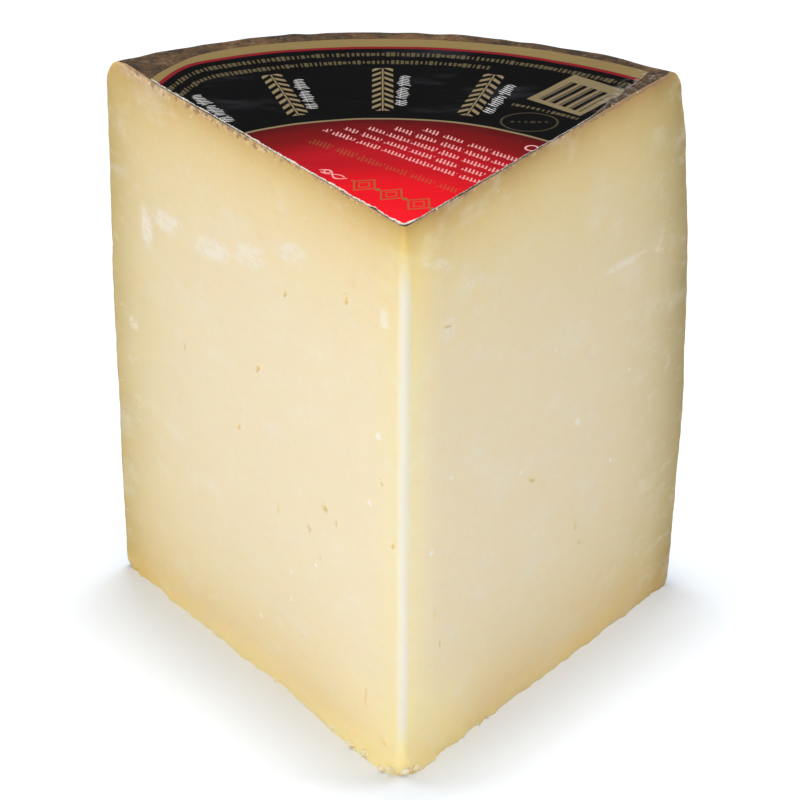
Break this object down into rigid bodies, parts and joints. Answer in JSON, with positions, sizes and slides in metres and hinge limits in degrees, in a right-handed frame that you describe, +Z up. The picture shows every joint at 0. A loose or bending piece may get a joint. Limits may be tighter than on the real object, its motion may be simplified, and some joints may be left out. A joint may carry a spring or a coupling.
{
  "type": "cheese wheel wedge",
  "caption": "Wedge cut from a small aged sheep's-milk cheese wheel, pale paste with a rough brown rind, standing on its base under a printed paper label.",
  "frame": {"origin": "middle of the wedge's bounding box, on its base", "axes": "+Z up the wedge's height; the straight edge where the two cuts meet faces -Y and the curved rind faces +Y; +X to the right of a person who looks at that edge"},
  "size_m": [0.1098, 0.0912, 0.1125],
  "materials": {
    "cheese": "pale ivory pressed cheese paste, waxy and slightly translucent on the cut faces, golden under a rough brown rind",
    "label": "coated printed paper, red disc and black ring inside a dull gold border, soft gloss with fine wrinkles"
  },
  "bodies": {
    "root": {"cheese_wedge": "cheese", "paper_label": "label"}
  },
  "joints": []
}
